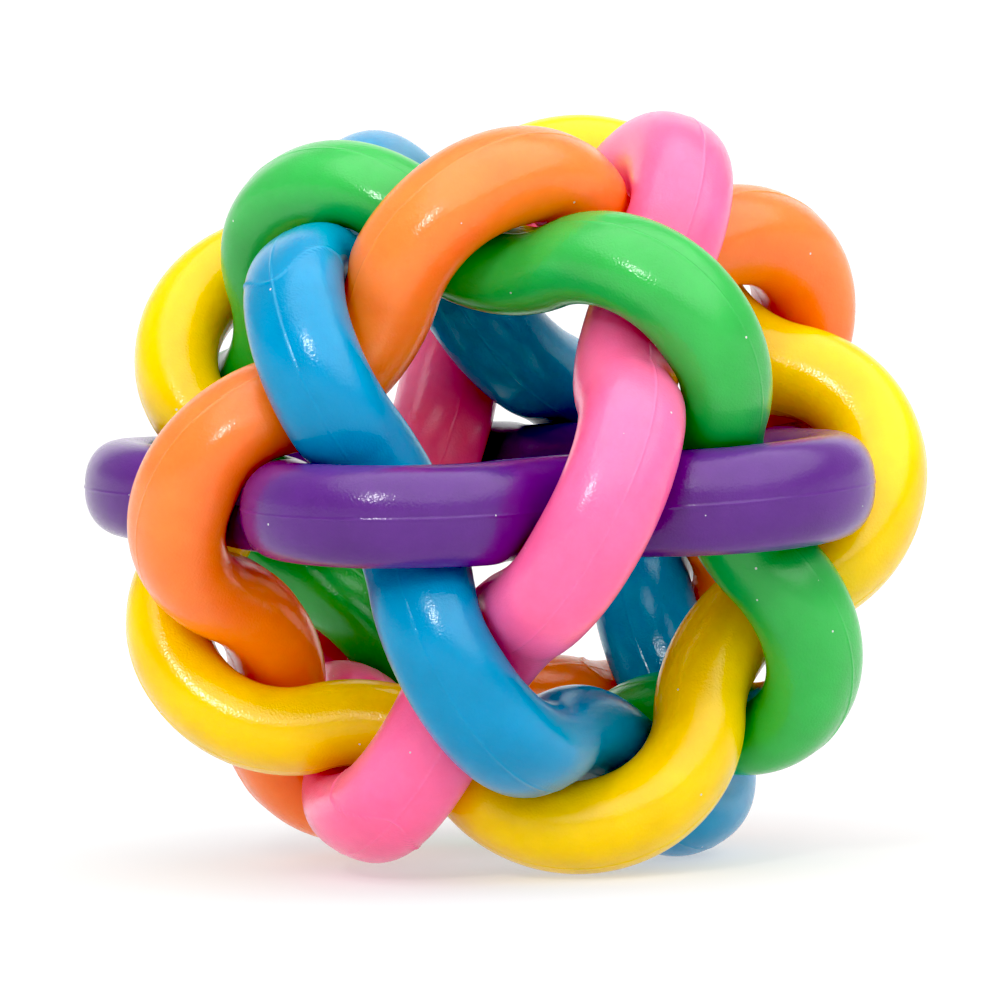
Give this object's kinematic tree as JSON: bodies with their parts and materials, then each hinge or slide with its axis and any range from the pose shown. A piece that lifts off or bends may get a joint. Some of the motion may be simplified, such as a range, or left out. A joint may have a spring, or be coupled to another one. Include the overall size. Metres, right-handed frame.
{
  "type": "woven rubber ring ball",
  "caption": "Hollow soft rubber ball of interlinked wavy rings woven over and under one another; a fidget and bouncing toy that is squeezed, rolled and thrown.",
  "frame": {"origin": "centre of the ball", "axes": "+Z along the axis of the purple ring, which is an axis of fivefold symmetry through two pentagonal openings; -Y towards the crossing where the pink ring passes over the purple one"},
  "size_m": [0.073, 0.0752, 0.0662],
  "materials": {
    "rubber_purple": "glossy moulded soft rubber",
    "rubber_blue": "glossy moulded soft rubber",
    "rubber_pink": "glossy moulded soft rubber",
    "rubber_green": "glossy moulded soft rubber",
    "rubber_yellow": "glossy moulded soft rubber",
    "rubber_orange": "glossy moulded soft rubber"
  },
  "bodies": {
    "purple_body": {"ring_purple": "rubber_purple"},
    "blue_body": {"ring_blue": "rubber_blue"},
    "pink_body": {"ring_pink": "rubber_pink"},
    "green_body": {"ring_green": "rubber_green"},
    "yellow_body": {"ring_yellow": "rubber_yellow"},
    "orange_body": {"ring_orange": "rubber_orange"}
  },
  "joints": [
    {"name": "pink_slip", "type": "hinge", "parent": "purple_body", "child": "pink_body", "pos_m": [0, 0, 0], "axis": [-0.8944, 0, 0.4472], "range_deg": [-0.5, 0.5], "stiffness_Nm_per_rad": 0.5},
    {"name": "blue_slip", "type": "hinge", "parent": "purple_body", "child": "blue_body", "pos_m": [0, 0, 0], "axis": [0.7236, -0.5257, 0.4472], "range_deg": [-0.5, 0.5], "stiffness_Nm_per_rad": 0.5},
    {"name": "green_slip", "type": "hinge", "parent": "purple_body", "child": "green_body", "pos_m": [0, 0, 0], "axis": [0.7236, 0.5257, 0.4472], "range_deg": [-0.5, 0.5], "stiffness_Nm_per_rad": 0.5},
    {"name": "yellow_slip", "type": "hinge", "parent": "purple_body", "child": "yellow_body", "pos_m": [0, 0, 0], "axis": [-0.2764, -0.8507, 0.4472], "range_deg": [-0.5, 0.5], "stiffness_Nm_per_rad": 0.5},
    {"name": "orange_slip", "type": "hinge", "parent": "purple_body", "child": "orange_body", "pos_m": [0, 0, 0], "axis": [-0.2764, 0.8507, 0.4472], "range_deg": [-0.5, 0.5], "stiffness_Nm_per_rad": 0.5}
  ]
}
